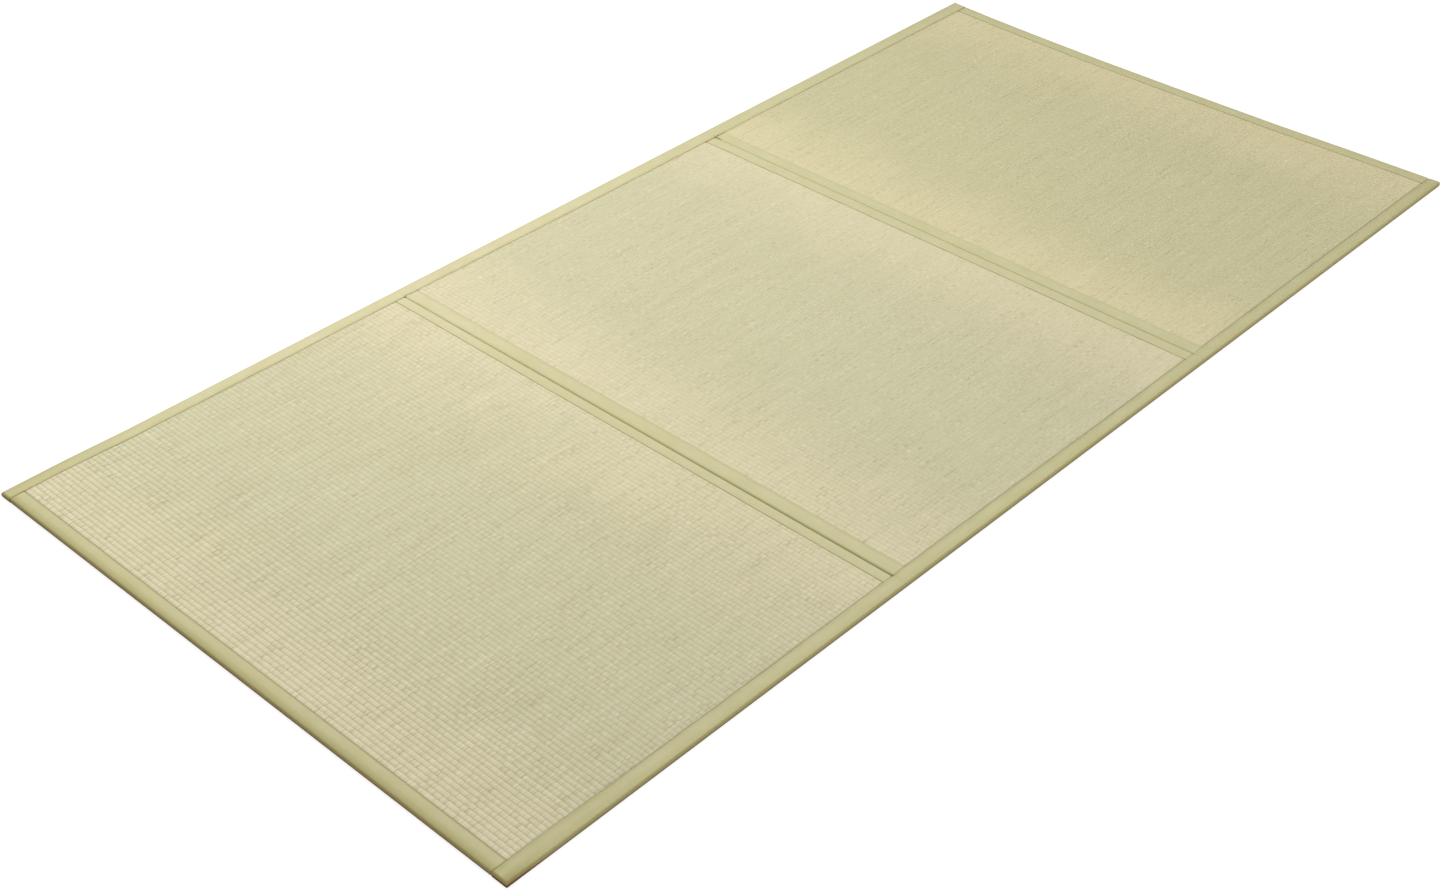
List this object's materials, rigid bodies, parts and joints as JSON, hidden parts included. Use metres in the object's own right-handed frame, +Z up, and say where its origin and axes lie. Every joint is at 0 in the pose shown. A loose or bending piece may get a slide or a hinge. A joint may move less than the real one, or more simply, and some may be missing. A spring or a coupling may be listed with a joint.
{
  "type": "folding tatami floor mat",
  "caption": "Flat floor mat of woven rush panels, hinged at their seams and bound with plain cloth along every edge.",
  "frame": {"origin": "on the floor plane, under the middle of the mat's bounding box", "axes": "+X along the mat's length from the near end to the far end, +Y across it from the right side to the left, +Z up out of the woven face"},
  "size_m": [2.105, 1.003, 0.0085],
  "materials": {
    "woven_rush": "dry woven rush, slightly glossy along the strands",
    "binding_cloth": "plain woven cotton, matt"
  },
  "bodies": {
    "root": {"rush_panel_near": "woven_rush", "rush_panel_middle": "woven_rush", "rush_panel_far": "woven_rush", "end_binding_near": "binding_cloth", "fold_binding_1_near": "binding_cloth", "fold_binding_1_far": "binding_cloth", "fold_binding_2_near": "binding_cloth", "fold_binding_2_far": "binding_cloth", "end_binding_far": "binding_cloth", "long_binding_right": "binding_cloth", "long_binding_left": "binding_cloth"}
  },
  "joints": []
}
